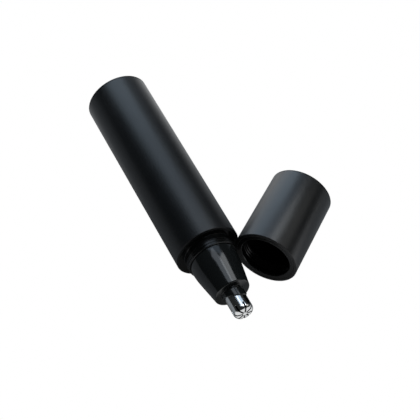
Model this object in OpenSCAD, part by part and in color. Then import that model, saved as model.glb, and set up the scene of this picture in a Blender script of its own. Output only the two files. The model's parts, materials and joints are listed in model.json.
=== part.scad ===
// Battery nose hair trimmer: a round handle with a twist-on cutting head and a
// twist tail, lying on its side beside the protective cap that was taken off it.
//
// Every trimmer piece is drawn about the tool axis: z = 0 is the front rim of the
// handle, +z points to the cutting tip and the tail lies at negative z.  Every cap
// piece is drawn about the cap's own axis: z = 0 is the mouth, +z the closed end.

/* [Handle] */
// Outer diameter of the handle and of the cap's mouth
handle_d = 24; // [24:0.5:32]
// Length of the handle, from its front rim to the tail face
handle_len = 80.4; // [80.2:0.2:110]
// Wall of the handle tube
tube_wall = 1.2; // [0.8:0.1:1.6]
// Bevel on the outer edges of the tube, the tail and the cap
edge_break = 0.15; // [0.1:0.05:0.5]

/* [Neck] */
// Diameter across the snap ribs of the neck
neck_d = 18.4; // [15:0.1:19.4]
// Length of the neck in front of the handle's rim
neck_len = 4.5; // [4:0.1:8]
// Number of snap ribs
rib_count = 3; // [1:1:3]
// Distance from one snap rib to the next
rib_pitch = 1.0; // [0.8:0.05:1.2]
// Height of a snap rib above the neck
rib_h = 0.25; // [0.1:0.05:0.4]
// Width of a snap rib
rib_w = 0.44; // [0.3:0.02:0.6]

/* [Head] */
// How much slimmer than the neck the nose cone starts
nose_step = 1.0; // [0.6:0.1:1.6]
// Diameter of the nose cone at its front face
nose_front_d = 13.2; // [11:0.2:14]
// Length of the nose cone
nose_len = 15.4; // [15:0.2:22]
// Length of the round shoulder that leads into the cone's straight side
nose_shoulder = 6.0; // [2:0.5:12]
// Wall of the boss around the cutter tube
boss_wall = 0.35; // [0.3:0.05:0.8]
// Length of that boss on its long side
boss_len = 4.1; // [2:0.1:5]
// Slope of the boss's front edge
boss_slope = 30; // [0:1:40]
// Turn of the boss's long side from straight up towards the cap
boss_turn = 25; // [0:1:90]
// Angle the head turns from locked to unlocked
head_turn = 35; // [20:1:45]

/* [Cutter] */
// Diameter of the outer cutter tube
cutter_d = 7.4; // [5.8:0.1:9]
// Wall of the outer cutter tube
cutter_wall = 0.35; // [0.25:0.05:0.45]
// Length of cutter that stands out of the nose cone's front face
cutter_out = 9.7; // [8:0.1:14]
// Axial length of the rounded end of the cutter
tip_len = 1.7; // [1.2:0.1:2.4]
// Number of hair slots
slot_count = 8; // [4:1:10]
// Width of a hair slot
slot_w = 0.6; // [0.3:0.05:0.7]
// Length of a hair slot, measured back from the tip
slot_len = 2.8; // [1.8:0.1:6]
// Diameter of the unslotted disc in the middle of the tip
slot_hub_d = 1.6; // [1.4:0.1:2.4]
// Turn of the first slot from the side the cap lies on
slot_turn = 84; // [0:1:90]
// Thickness of the inner blade's wings
blade_t = 0.5; // [0.3:0.05:0.8]

/* [Motor] */
// Diameter of the motor can across its round sides
motor_d = 15.5; // [13:0.1:18]
// Width of the motor can across its flats
motor_flat = 12.1; // [11.8:0.1:13]
// Length of the motor
motor_len = 16.2; // [13:0.1:17]
// Sheet thickness of the motor can
motor_sheet = 0.5; // [0.4:0.05:0.6]
// Diameter of the motor shaft
shaft_d = 2.0; // [1.5:0.1:2.2]

/* [Battery] */
// Diameter of the round cell
cell_d = 14.5; // [10.5:0.1:14.6]
// Length of the cell, with its nub
cell_len = 50.5; // [44:0.1:50.6]
// Diameter of the cell's nub
nub_d = 5.5; // [4:0.1:6]
// Height of the cell's nub
nub_h = 1.0; // [0.8:0.1:1.6]
// Wall of the sleeve around the cell
sleeve_wall = 1.0; // [0.8:0.1:1.2]

/* [Tail] */
// Thickness of the tail cap's rim, as seen on the handle's side
tail_rim = 0.6; // [0.5:0.1:1.2]
// Thickness of the tail cap's floor
tail_floor = 1.6; // [1.4:0.1:2.2]
// Length the battery spring is squeezed to
spring_room = 3.0; // [2.4:0.1:6]
// Angle the tail turns from off to on
turn_on = 40; // [25:1:50]
// Angle the tail turns the other way, from off to open
turn_open = 40; // [25:1:50]
// Width of the coin slot across the tail
coin_w = 1.8; // [1.2:0.1:2.4]
// Depth of that slot
coin_deep = 0.7; // [0.3:0.1:0.9]

/* [Cap] */
// Length of the cap
cap_len = 32.8; // [32.6:0.2:45]
// How much slimmer the cap is at its closed end
cap_draft = 0.7; // [0:0.1:2]
// Wall of the cap's metal shell
cap_wall = 1.2; // [0.8:0.1:1.4]
// Thickness of the rim of the cap's end plug
cap_rim = 0.5; // [0.4:0.1:1]
// Angle between the cap's axis and the handle's, as they lie
cap_turn = 50.5; // [30:0.5:80]
// Gap between the cap and the trimmer, as they lie
cap_gap = 0.2; // [0.2:0.05:2]

/* [Fits] */
// Radial gap between nested pieces that don't move
fit = 0.05; // [0.02:0.01:0.08]
// Radial gap between pieces that turn in each other
run = 0.08; // [0.05:0.01:0.1]
// Radial gap of a shaft in its bush
shaft_run = 0.03; // [0.02:0.01:0.05]

/* [Hidden] */
$fn = 96;
handle_r = handle_d / 2;
tube_in_r = handle_r - tube_wall;
insert_r = tube_in_r - fit;

// Stations along the tool axis, from the tail forward
z_tail = -handle_len;
z_tube0 = z_tail + tail_rim;
z_floor = z_tail + tail_floor;
z_cell0 = z_floor + spring_room;
z_nub = z_cell0 + cell_len;
contact_t = 0.4;
z_wall0 = z_nub + contact_t + 0.1;
wall_t = 1.0;
z_wall1 = z_wall0 + wall_t;
terminal_room = 0.8;
z_motor0 = z_wall1 + terminal_room;
z_motor1 = z_motor0 + motor_len;
mount_t = 1.6;
z_mount1 = z_motor1 + mount_t;
screw_head_h = 0.8;
collar_gap = 0.3;
z_collar0 = z_mount1 + screw_head_h + collar_gap;
seal_h = 0.5;
seal_gap = 0.1;
z_collar_seal = z_collar0 + 1.6;

// Neck and bayonet of the head
neck_r = neck_d / 2;
neck_core_r = neck_r - rib_h;
z_rib_last = neck_len - 0.3;
lug_h = 0.8;
slot_skin = 0.95;
plug_r = neck_core_r - lug_h - slot_skin;
plug_wall = 1.2;
plug_in_r = plug_r - plug_wall;
collar_bore_r = plug_r + run;
lug_t = 1.0;
lug_a = 26;
groove_gap = 0.15;
slot_gap = 0.02;
z_lug0 = z_collar0 + 0.8;
z_plug0 = z_collar0 + 0.3;
nose_gap = 0.1;
z_nose0 = neck_len + nose_gap;
z_head_seal = neck_len - 2.6;
nose_base_r = neck_r - nose_step / 2;
nose_front_r = nose_front_d / 2;
nose_bend = (nose_base_r - nose_front_r) / (nose_shoulder * (nose_len - nose_shoulder / 2));
z_nose1 = z_nose0 + nose_len;
z_boss1 = z_nose1 + boss_len;
nose_edge = 0.35;

// Cutter
cutter_r = cutter_d / 2;
boss_out_r = cutter_r + fit + boss_wall;
z_tip = z_nose1 + cutter_out;
z_tip0 = z_tip - tip_len;
tip_corner = 1.25;
tip_crown = 0.15;
flange_r = cutter_r + 1.15;
flange_t = 0.8;
z_flange1 = z_nose0 + 9.5;
z_flange0 = z_flange1 - flange_t;
retainer_t = 2.3;
bush_r = 3.0;
z_retainer1 = z_flange0 - 0.05;
z_retainer0 = z_retainer1 - retainer_t;

// Drive line
shaft_r = shaft_d / 2;
boss_h = 1.2;
boss_r = 3.0;
bushing_r = 2.2;
bushing_len = 1.4;
z_shaft1 = z_motor1 + boss_h + 5.2;
coupler_r = 2.9;
z_coupler0 = z_motor1 + boss_h + 0.6;
z_coupler1 = z_coupler0 + 8.0;
z_socket0 = z_coupler1 - 3.0;
drive_hex = 3.4;
spindle_r = 1.7;
spindle_flange_r = 2.9;
spindle_flange_t = 0.8;
z_spindle_flange = z_retainer0 - 0.3 - spindle_flange_t;
z_spindle0 = z_socket0 + 0.2;
z_fork0 = z_retainer1 + 0.25;
z_fork1 = z_fork0 + 2.6;
fork_r = cutter_r - cutter_wall - 0.25;
z_blade0 = z_fork0 + 0.6;
blade_r = cutter_r - cutter_wall - run;
blade_spring_r = 2.35;
blade_wire = 0.35;

// Motor
can_r = motor_d / 2;
bell_t = 2.0;
z_can0 = z_motor0 + bell_t;
z_core0 = z_motor0 + 6.0;
core_len = z_motor1 - motor_sheet - 3.3 - z_core0;
core_r = 4.6;
hub_r = 2.0;
pole_w = 1.4;
pole_t = 0.9;
coil_w = 3.0;
coil_end = 0.8;
coil_gap = 0.15;
coil_out_r = sqrt(pow(core_r - pole_t, 2) - pow(coil_w / 2, 2)) - coil_gap;
air_gap = 0.3;
comm_r = 1.7;
z_comm0 = z_motor0 + 2.9;
comm_len = 2.2;
brush_w = 1.2;
segment_gap = 0.24;
screw_r = 0.8;
screw_head_r = 1.4;
screw_cross_w = 0.4;
screw_at = 4.6;
terminal_at = 4.4;
terminal_w = 1.8;
terminal_t = 0.4;

// Battery and its sleeve
cell_r = cell_d / 2;
wrap_t = 0.1;
sleeve_in_r = cell_r + wrap_t + 0.15;
sleeve_r = sleeve_in_r + sleeve_wall;
sleeve_ring_w = 1.6;

// Tail bayonet and rotary switch
ring_wall = 1.5;
ring_in_r = tube_in_r - ring_wall;
tail_plug_r = ring_in_r - run;
tail_plug_wall = 1.1;
tail_plug_len = 6.4;
z_plug_end = z_tube0 + tail_plug_len;
tail_lug_h = 0.75;
tail_lug_t = 1.0;
tail_lug_a = 24;
z_tail_lug = z_plug_end - 0.9 - tail_lug_t;
z_ring0 = z_tube0 + 0.1;
z_ring1 = z_plug_end + 0.9;
z_sleeve0 = z_ring1 + 0.1;
strip_w = 3.0;
strip_t = 0.4;
strip_r = sleeve_r + 0.1;
strip_at = 180;
strip_foot = 0.3;
arm_w = 2.4;
riser_t = 0.3;
tab_r0 = tail_plug_r - tail_plug_wall - riser_t - 0.1;
switch_gap = 0.2;
tab_t = 0.2;
tail_disc_r = 5.8;
z_tail_seal = z_tube0 + 1.2;

// Cap
cap_r = handle_r;
cap_end_r = cap_r - cap_draft / 2;
cap_tilt = atan((cap_r - cap_end_r) / cap_len);
cap_floor = 0.8;
plug_t = 1.1;
z_cap_rim = cap_len - cap_rim;
z_cap_floor1 = z_cap_rim - plug_t - 0.05;
z_cap_floor0 = z_cap_floor1 - cap_floor;
snap_r = neck_r - 0.1;
snap_groove_r = neck_r + 0.1;
cap_bore_r = nose_base_r + 0.35;
cap_lead = 0.3;
snap_len = neck_len + 0.5;

// Where the pieces lie: the cap's mouth clears the neck and its side clears the
// handle's rim by cap_gap, and the origin is under the middle of the whole.
bevel_off = edge_break * cos(cap_turn);
corner_side = neck_r + cap_gap - bevel_off;
corner_front = (cap_gap - bevel_off + cos(cap_turn) * (handle_r - corner_side)) / sin(cap_turn);
mouth_side = corner_side + cap_r * cos(cap_turn);
mouth_front = corner_front + cap_r * sin(cap_turn);
cap_far = mouth_side + cap_len * sin(cap_turn) + (cap_end_r - edge_break) * cos(cap_turn);
tool_x = (handle_r - cap_far) / 2;
rim_y = (z_tip - handle_len) / 2;
cap_x = tool_x + mouth_side;
cap_y = rim_y - mouth_front;
cap_z = cap_r * cos(cap_tilt);

// ---------------------------------------------------------------- placing
module on_tool() translate([tool_x, rim_y, handle_r]) rotate([90, 0, 0]) children();

module on_cap() translate([cap_x, cap_y, cap_z])
    rotate([0, 90 + cap_tilt, 90 - cap_turn]) children();

// ---------------------------------------------------------------- helpers
module disc(r, z0, z1) translate([0, 0, z0]) cylinder(r = r, h = z1 - z0);

module ring(r_out, r_in, z0, z1) rotate_extrude()
    translate([r_in, z0]) square([r_out - r_in, z1 - z0]);

module sector(r_in, r_out, z0, z1, from, sweep) rotate([0, 0, from])
    rotate_extrude(angle = sweep) translate([r_in, z0]) square([r_out - r_in, z1 - z0]);

module block(w, d, z0, z1) translate([-w / 2, -d / 2, z0]) cube([w, d, z1 - z0]);

module at_sides(x) for (side = [-1, 1]) translate([side * x, 0, 0]) children();

// Two opposite lugs, each `angle` wide and standing on a plug of radius r.
module lugs(r, height, z0, thick, angle) for (side = [0, 180])
    sector(r - 0.3, r + height, z0, z0 + thick, side, angle);

// The grooves that such lugs turn in, from angle `low` to angle `high`, each with a
// slot at `open_at` that lets its lug out towards z_open.
module lug_grooves(r, height, z0, thick, angle, low, high, open_at, z_open) for (side = [0, 180]) {
    z_mid = z0 + thick / 2;
    sector(r - 0.2, r + height + run, z0 - groove_gap, z0 + thick + groove_gap,
           side + low - 2, angle + high - low + 4);
    sector(r - 0.2, r + height + run + slot_gap, min(z_open, z_mid), max(z_open, z_mid),
           side + open_at - 1, angle + 2);
}

// The groove of a seal in the outside of a plug of radius r, and the seal that lies
// in it, with a flat-sided round section.
module seal_groove(r, z) ring(r + 1, r - seal_h, z, z + seal_h + seal_gap);

module seal(r, z) rotate_extrude() translate([r - seal_h / 2 + 0.02, z + (seal_h + seal_gap) / 2])
    rotate(22.5) circle(r = seal_h / 2, $fn = 8);

// A coil of round wire whose radius goes from r0 to r1 as it climbs from z0 to z1.
module coil(r0, r1, z0, z1, turns, wire, steps) {
    sides = 8;
    points = [for (i = [0:steps], j = [0:sides - 1])
        let (f = i / steps, a = 360 * turns * f, b = 360 * j / sides,
             r = r0 + (r1 - r0) * f + wire / 2 * cos(b))
        [r * cos(a), r * sin(a), z0 + wire / 2 + (z1 - z0 - wire) * f + wire / 2 * sin(b)]];
    skin = [for (i = [0:steps - 1], j = [0:sides - 1])
        let (k = (j + 1) % sides)
        [i * sides + j, i * sides + k, (i + 1) * sides + k, (i + 1) * sides + j]];
    start = [for (j = [sides - 1:-1:0]) j];
    end = [for (j = [0:sides - 1]) steps * sides + j];
    polyhedron(points, concat(skin, [start, end]));
}

// Outline of the cutter's rounded end: straight side, round corner, shallow crown.
function tip_outline(r, corner, z_side, z_corner, z_top) = concat(
    [for (a = [0:15:90]) [r - corner + corner * cos(a), z_side + (z_corner - z_side) * sin(a)]],
    [[0, z_top]]);

// Radius of the nose cone's side at a distance s from its base: a round shoulder
// whose slope grows evenly, then a straight cone.
function nose_r(s) = nose_base_r - (s < nose_shoulder ? nose_bend * s * s / 2
    : nose_bend * nose_shoulder * (s - nose_shoulder / 2));

// ---------------------------------------------------------------- handle
module body_tube() color("#23262b") on_tool() rotate_extrude() polygon([
    [tube_in_r, z_tube0], [handle_r, z_tube0],
    [handle_r, -edge_break], [handle_r - edge_break, 0], [tube_in_r, 0]]);

module front_collar() color("#141516") on_tool() difference() {
    union() {
        ring(insert_r, collar_bore_r, z_collar0, 0);
        ring(neck_core_r, collar_bore_r, -0.2, neck_len);
        for (i = [0:rib_count - 1]) let (z = z_rib_last - i * rib_pitch)
            rotate_extrude() polygon([
                [neck_core_r - 0.1, z - rib_w / 2], [neck_core_r, z - rib_w / 2],
                [neck_r, z - rib_w / 4], [neck_r, z + rib_w / 4],
                [neck_core_r, z + rib_w / 2], [neck_core_r - 0.1, z + rib_w / 2]]);
    }
    seal_groove(insert_r, z_collar_seal);
    lug_grooves(plug_r, lug_h, z_lug0, lug_t, lug_a, 0, head_turn, head_turn, neck_len + 1);
}

module collar_seal() color("#0b0b0c") on_tool()
    seal(insert_r, z_collar_seal);

module shaft_seal() color("#0b0b0c") on_tool()
    ring(boss_r - 0.1, shaft_r + run, z_motor1 + boss_h + fit, z_coupler0 - run);

// ---------------------------------------------------------------- motor
module motor_outline(grow) intersection() {
    circle(r = can_r + grow);
    square([motor_d + 4, motor_flat + 2 * grow], center = true);
}

module motor_mount() color("#3b3d40") on_tool() difference() {
    disc(insert_r, z_wall1 + fit, z_mount1);
    translate([0, 0, z_wall1]) linear_extrude(z_motor1 + fit - z_wall1) motor_outline(fit);
    disc(boss_r + fit, z_motor1, z_mount1 + 1);
    at_sides(screw_at) disc(screw_r + 0.1, z_motor1, z_mount1 + 1);
    // Channel for the foot of the contact strip
    rotate([0, 0, strip_at]) translate([0, -strip_w / 2 - 0.2, z_wall1])
        cube([insert_r + 1, strip_w + 0.4, strip_foot + 0.2]);
}

module motor_can() color("#9a9da1") on_tool() difference() {
    union() {
        translate([0, 0, z_can0]) linear_extrude(z_motor1 - z_can0) motor_outline(0);
        disc(boss_r, z_motor1 - 0.2, z_motor1 + boss_h);
    }
    translate([0, 0, z_can0 - 1]) linear_extrude(motor_len - bell_t - motor_sheet + 1)
        motor_outline(-motor_sheet);
    disc(bushing_r, z_motor1 - 1, z_motor1 + boss_h - 0.4);
    disc(shaft_r + 0.2, z_motor1, z_motor1 + boss_h + 1);
    at_sides(screw_at) disc(screw_r + fit, z_motor1 - 1, z_motor1 + 1);
}

module motor_end_bell() color("#e7e4da") on_tool() difference() {
    union() {
        translate([0, 0, z_motor0]) linear_extrude(bell_t - fit) motor_outline(0);
        // Lip that locates the bell inside the can
        translate([0, 0, z_motor0]) linear_extrude(bell_t + 0.6) difference() {
            motor_outline(-motor_sheet - fit);
            circle(r = can_r - motor_sheet - 1.6);
        }
    }
    disc(bushing_r, z_motor0 + 0.5, z_motor0 + bell_t + 1);
    disc(shaft_r + 0.2, z_motor0 - 1, z_motor0 + bell_t);
    at_sides(terminal_at)
        block(terminal_t + 0.1, terminal_w + 0.1, z_motor0 - 1, z_motor0 + bell_t + 1);
}

module motor_magnets() color("#4c4a48") on_tool() intersection() {
    for (side = [-50, 130])
        sector(core_r + air_gap, can_r - motor_sheet - fit,
               z_core0 - 1, z_core0 + core_len + 1, side, 100);
    block(motor_d, motor_flat - 2 * motor_sheet - 0.1, z_can0, z_motor1);
}

module motor_bushings() color("#b5863a") on_tool() {
    for (z = [z_motor0 + 0.5 + fit, z_motor1 + boss_h - 0.4 - fit - bushing_len])
        ring(bushing_r - fit, shaft_r + shaft_run, z, z + bushing_len);
}

module motor_brushes() color("#b5863a") on_tool() for (side = [0, 180]) rotate([0, 0, side])
    translate([0, 0, z_comm0 + 0.6]) {
        // Block that rubs on the commutator, and the leaf that carries it
        translate([comm_r + run, -brush_w / 2, 0]) cube([0.7, brush_w, 1.2]);
        translate([comm_r + run + 0.7, -brush_w / 2, 0.2])
            cube([terminal_at - comm_r - run - 0.6, brush_w, 0.3]);
    }

module motor_terminals() color("#b5863a") on_tool() at_sides(terminal_at)
    block(terminal_t, terminal_w, z_wall1 + strip_foot + 0.1, z_comm0 + 0.75);

module motor_screws() color("#8f9296") on_tool() at_sides(screw_at) difference() {
    z_head1 = z_mount1 + screw_head_h;
    union() {
        disc(screw_r, z_motor1 - motor_sheet - 0.1, z_mount1 + 0.1);
        disc(screw_head_r, z_mount1, z_head1);
    }
    for (a = [0, 90]) rotate([0, 0, a])
        block(2 * screw_head_r - 0.8, screw_cross_w, z_head1 - screw_cross_w, z_head1 + 1);
}

// ---------------------------------------------------------------- battery
module battery_sleeve() color("#3b3d40") on_tool() difference() {
    union() {
        disc(sleeve_r, z_sleeve0, z_wall1);
        for (z = [z_sleeve0, (z_sleeve0 + z_wall1 - sleeve_ring_w) / 2, z_wall1 - sleeve_ring_w])
            disc(insert_r, z, z + sleeve_ring_w);
    }
    disc(sleeve_in_r, z_sleeve0 - 1, z_wall0);
    // Channel for the contact strip and slot for the positive contact's tab
    rotate([0, 0, strip_at]) translate([insert_r, 0, 0])
        block(2 * (insert_r - sleeve_r), strip_w + 0.4, z_sleeve0 - 1, z_wall1 + 1);
    translate([terminal_at, 0, 0])
        block(terminal_t + 0.6, terminal_w + 0.6, z_wall0 - 1, z_wall1 + 1);
}

module battery_cell() color("#b9bcc0") on_tool() rotate_extrude() polygon([
    [0, z_cell0], [cell_r - 0.6, z_cell0], [cell_r, z_cell0 + 0.4],
    [cell_r, z_nub - nub_h - 0.5], [cell_r - 0.7, z_nub - nub_h],
    [nub_d / 2, z_nub - nub_h], [nub_d / 2, z_nub - 0.2], [nub_d / 2 - 0.2, z_nub], [0, z_nub]]);

module battery_wrap() color("#55606e") on_tool()
    ring(cell_r + wrap_t, cell_r + 0.01, z_cell0 + 0.5, z_nub - nub_h - 0.6);

// A disc on the cell's nub, with a tab that goes up to the motor's terminal.
module positive_contact() color("#c9a14a") on_tool() {
    disc(terminal_at - terminal_t, z_nub + fit, z_nub + contact_t);
    translate([terminal_at - 0.3, 0, 0])
        block(terminal_t + 0.6, terminal_w, z_nub + fit, z_nub + contact_t);
    translate([terminal_at, 0, 0])
        block(terminal_t, terminal_w, z_nub + fit, z_wall1 + strip_foot + fit);
}

// A long strip with a foot at each end: the tail contact's tab slides under the rear
// one, and the front one reaches in to the motor's terminal.
module contact_strip() color("#c9a14a") on_tool() rotate([0, 0, strip_at]) {
    z_foot = z_plug_end + tab_t + switch_gap;
    foot_r0 = min(strip_r, tab_r0 + riser_t);
    foot_r1 = max(strip_r + strip_t, tab_r0 + tail_plug_wall);
    toe_r0 = terminal_at - terminal_t / 2;
    translate([strip_r, -strip_w / 2, z_foot])
        cube([strip_t, strip_w, z_wall1 + strip_foot + fit - z_foot]);
    translate([foot_r0, -strip_w / 2, z_foot]) cube([foot_r1 - foot_r0, strip_w, strip_foot]);
    translate([toe_r0, -terminal_w / 2, z_wall1 + fit])
        cube([strip_r + 0.1 - toe_r0, terminal_w, strip_foot]);
}

// ---------------------------------------------------------------- tail
module tail_ring() color("#3b3d40") on_tool() difference() {
    ring(insert_r, ring_in_r, z_ring0, z_ring1);
    lug_grooves(tail_plug_r, tail_lug_h, z_tail_lug, tail_lug_t, tail_lug_a,
                -turn_open, turn_on, -turn_open, z_ring0 - 1);
}

module tail_cap() color("#17181a") on_tool() difference() {
    union() {
        rotate_extrude() polygon([
            [0, z_tail], [handle_r - edge_break, z_tail], [handle_r, z_tail + edge_break],
            [handle_r, z_tube0 - 0.06], [0, z_tube0 - 0.06]]);
        disc(tail_plug_r, z_tail + 0.1, z_plug_end);
        lugs(tail_plug_r, tail_lug_h, z_tail_lug, tail_lug_t, tail_lug_a);
    }
    disc(tail_plug_r - tail_plug_wall, z_floor, z_plug_end + 1);
    seal_groove(tail_plug_r, z_tail_seal);
    block(coin_w, handle_d * 0.55, z_tail - 1, z_tail + coin_deep);
    // Notch for the tail contact's tab
    rotate([0, 0, strip_at - turn_on]) translate([tail_plug_r - tail_plug_wall / 2, 0, 0])
        block(tail_plug_wall + 2, strip_w + 0.2, z_plug_end - 0.1, z_plug_end + 1);
}

module tail_seal() color("#0b0b0c") on_tool()
    seal(tail_plug_r, z_tail_seal);

module tail_contact() color("#c9a14a") on_tool() {
    z0 = z_floor + 0.02;
    disc(tail_disc_r, z0, z_floor + contact_t);
    // Arm along the floor, riser up the wall and tab over the edge
    rotate([0, 0, strip_at - turn_on]) {
        translate([tail_disc_r - 1, -arm_w / 2, z0])
            cube([tab_r0 + riser_t - tail_disc_r + 1, arm_w, z_floor + contact_t - z0]);
        translate([tab_r0, -arm_w / 2, z0]) cube([riser_t, arm_w, z_plug_end + tab_t - z0]);
        translate([tab_r0, -arm_w / 2, z_plug_end - 0.05])
            cube([tail_plug_wall, arm_w, tab_t + 0.05]);
    }
}

module battery_spring() color("#c8ccd0") on_tool()
    coil(5.2, 2.8, z_floor + contact_t + 0.02, z_cell0 - 0.12, 2.75, 0.55, 44);

// ---------------------------------------------------------------- drive
module motor_shaft() color("#c8ccd0") on_tool() disc(shaft_r, z_motor0 + 0.2, z_shaft1);

module armature_core() color("#6f7276") on_tool() difference() {
    union() {
        disc(hub_r, z_core0, z_core0 + core_len);
        for (a = [0, 120, 240]) rotate([0, 0, a]) {
            translate([hub_r - 0.5, -pole_w / 2, z_core0])
                cube([core_r - pole_t - hub_r + 0.7, pole_w, core_len]);
            sector(core_r - pole_t, core_r, z_core0, z_core0 + core_len, -50, 100);
        }
    }
    disc(shaft_r + 0.01, z_core0 - 1, z_core0 + core_len + 1);
}

module armature_windings() color("#a3572c") on_tool() for (a = [0, 120, 240]) rotate([0, 0, a])
    difference() {
        translate([hub_r + coil_gap, -coil_w / 2, z_core0 - coil_end])
            cube([coil_out_r - hub_r - coil_gap, coil_w, core_len + 2 * coil_end]);
        translate([hub_r - 0.5, -pole_w / 2 - fit, z_core0 - fit])
            cube([core_r, pole_w + 2 * fit, core_len + 2 * fit]);
    }

module commutator() color("#b06a34") on_tool() difference() {
    ring(comm_r, shaft_r + 0.01, z_comm0, z_comm0 + comm_len);
    // Gaps between the segments
    for (a = [60, 180, 300]) rotate([0, 0, a])
        translate([shaft_r + 0.35, -segment_gap / 2, z_comm0 - 1]) cube([2, segment_gap, comm_len + 2]);
}

module drive_coupler() color("#d8d5c8") on_tool() difference() {
    disc(coupler_r, z_coupler0, z_coupler1);
    disc(shaft_r + 0.01, z_coupler0 - 1, z_shaft1 + 0.1);
    translate([0, 0, z_socket0]) cylinder(d = drive_hex / cos(30), h = 4, $fn = 6);
}

module blade_spindle() color("#d8d5c8") on_tool() difference() {
    union() {
        translate([0, 0, z_spindle0]) cylinder(d = (drive_hex - 2 * fit) / cos(30), h = 3.4, $fn = 6);
        disc(spindle_r, z_spindle0 + 3.3, z_fork0 + 0.1);
        disc(spindle_flange_r, z_spindle_flange, z_spindle_flange + spindle_flange_t);
        disc(fork_r, z_fork0, z_fork1);
    }
    for (a = [0, 90]) rotate([0, 0, a])
        block(blade_t + 0.04, 2 * fork_r + 1, z_blade0 - 0.02, z_fork1 + 1);
}

module blade_spring() color("#c8ccd0") on_tool()
    coil(blade_spring_r, blade_spring_r, z_coupler1 + 0.02, z_spindle_flange - 0.02, 5.5, blade_wire, 72);

module inner_blade() color("#cfd3d8") on_tool() intersection() {
    union() for (a = [0, 90]) rotate([0, 0, a]) block(blade_t, 2 * blade_r + 1, z_blade0, z_tip);
    rotate_extrude() polygon(concat([[0, z_blade0], [blade_r, z_blade0]],
        tip_outline(blade_r, tip_corner - cutter_wall - run, z_tip0,
                    z_tip - tip_crown - cutter_wall - run, z_tip - cutter_wall - run)));
}

// ---------------------------------------------------------------- head
// Round boss with a sloping front edge: long side up, its short side flush with the nose
module boss() difference() {
    disc(boss_out_r, z_nose1 - 1, z_boss1);
    rotate([0, 0, -boss_turn]) translate([0, boss_out_r, z_boss1]) rotate([boss_slope, 0, 0])
        translate([-2 * boss_out_r, -4 * boss_out_r, 0])
            cube([4 * boss_out_r, 6 * boss_out_r, 4 * boss_out_r]);
}

module nose_cone() color("#121314") on_tool() difference() {
    union() {
        rotate_extrude() polygon(concat([[0, z_nose0]],
            [for (i = [0:12]) let (s = nose_shoulder * i / 12) [nose_r(s), z_nose0 + s]],
            [[nose_r(nose_len - nose_edge), z_nose1 - nose_edge], [nose_front_r - nose_edge, z_nose1],
             [0, z_nose1]]));
        boss();
        disc(plug_r, z_plug0, z_nose0 + 0.2);
        lugs(plug_r, lug_h, z_lug0, lug_t, lug_a);
    }
    disc(plug_in_r, z_plug0 - 1, z_retainer1);
    disc(flange_r + fit, z_retainer1 - 1, z_flange1);
    disc(cutter_r + fit, z_flange1 - 1, z_boss1 + 1);
    seal_groove(plug_r, z_head_seal);
}

module outer_cutter() color("#d9dce0") on_tool() difference() {
    rotate_extrude() polygon(concat(
        [[cutter_r - cutter_wall, z_flange0], [flange_r, z_flange0], [flange_r, z_flange1 - fit],
         [cutter_r, z_flange1 - fit]],
        tip_outline(cutter_r, tip_corner, z_tip0, z_tip - tip_crown, z_tip),
        [for (p = [len(tip_inside) - 1:-1:0]) tip_inside[p]]));
    for (i = [0:slot_count - 1]) rotate([0, 0, slot_turn + i * 360 / slot_count])
        translate([slot_hub_d / 2, -slot_w / 2, z_tip - slot_len]) cube([cutter_r, slot_w, slot_len + 1]);
}
tip_inside = tip_outline(cutter_r - cutter_wall, tip_corner - cutter_wall, z_tip0,
                         z_tip - tip_crown - cutter_wall, z_tip - cutter_wall);

module cutter_retainer() color("#d8d5c8") on_tool()
    ring(plug_in_r - fit, bush_r, z_retainer0, z_retainer1 - fit);

module spindle_bush() color("#b5863a") on_tool()
    ring(bush_r - fit, spindle_r + shaft_run, z_retainer0, z_retainer1 - fit);

module head_seal() color("#0b0b0c") on_tool()
    seal(plug_r, z_head_seal);

// ---------------------------------------------------------------- cap
// Radius of the cap's outside at height z above the mouth
function cap_side(z) = cap_r + (cap_end_r - cap_r) * z / cap_len;

module cap_shell() color("#2e3136") on_cap() rotate_extrude() polygon([
    [cap_r - cap_wall, 0], [cap_r - edge_break, 0], [cap_side(edge_break), edge_break],
    [cap_side(z_cap_rim), z_cap_rim], [cap_side(z_cap_rim) - cap_wall, z_cap_rim]]);

module cap_liner() color("#101112") on_cap() difference() {
    rotate_extrude() polygon([
        [0, 0], [cap_r - cap_wall - fit, 0],
        [cap_side(z_cap_floor1) - cap_wall - fit, z_cap_floor1], [0, z_cap_floor1]]);
    disc(snap_r, -1, snap_len);
    translate([0, 0, -cap_lead]) cylinder(r1 = snap_r + 2 * cap_lead, r2 = snap_r, h = 2 * cap_lead);
    disc(cap_bore_r, snap_len - 0.1, z_cap_floor0);
    for (i = [0:rib_count - 1]) let (z = z_rib_last - i * rib_pitch)
        rotate_extrude() polygon([
            [snap_r - 0.5, z - rib_w / 2 - 0.1], [snap_r, z - rib_w / 2 - 0.1],
            [snap_groove_r, z - rib_w / 4], [snap_groove_r, z + rib_w / 4],
            [snap_r, z + rib_w / 2 + 0.1], [snap_r - 0.5, z + rib_w / 2 + 0.1]]);
}

module cap_end_plug() color("#0e0f10") on_cap() rotate_extrude() polygon([
    [0, z_cap_floor1 + 0.05], [cap_side(z_cap_rim) - cap_wall - fit, z_cap_floor1 + 0.05],
    [cap_side(z_cap_rim) - cap_wall - fit, z_cap_rim], [cap_side(z_cap_rim), z_cap_rim + 0.02],
    [cap_end_r, cap_len - edge_break], [cap_end_r - edge_break, cap_len], [0, cap_len]]);

body_tube();
front_collar();
collar_seal();
shaft_seal();
motor_mount();
motor_can();
motor_end_bell();
motor_magnets();
motor_bushings();
motor_brushes();
motor_terminals();
motor_screws();
battery_sleeve();
battery_cell();
battery_wrap();
positive_contact();
contact_strip();
tail_ring();
motor_shaft();
armature_core();
armature_windings();
commutator();
drive_coupler();
blade_spring();
blade_spindle();
inner_blade();
nose_cone();
outer_cutter();
cutter_retainer();
spindle_bush();
head_seal();
tail_cap();
tail_seal();
tail_contact();
battery_spring();
cap_shell();
cap_liner();
cap_end_plug();
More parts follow.
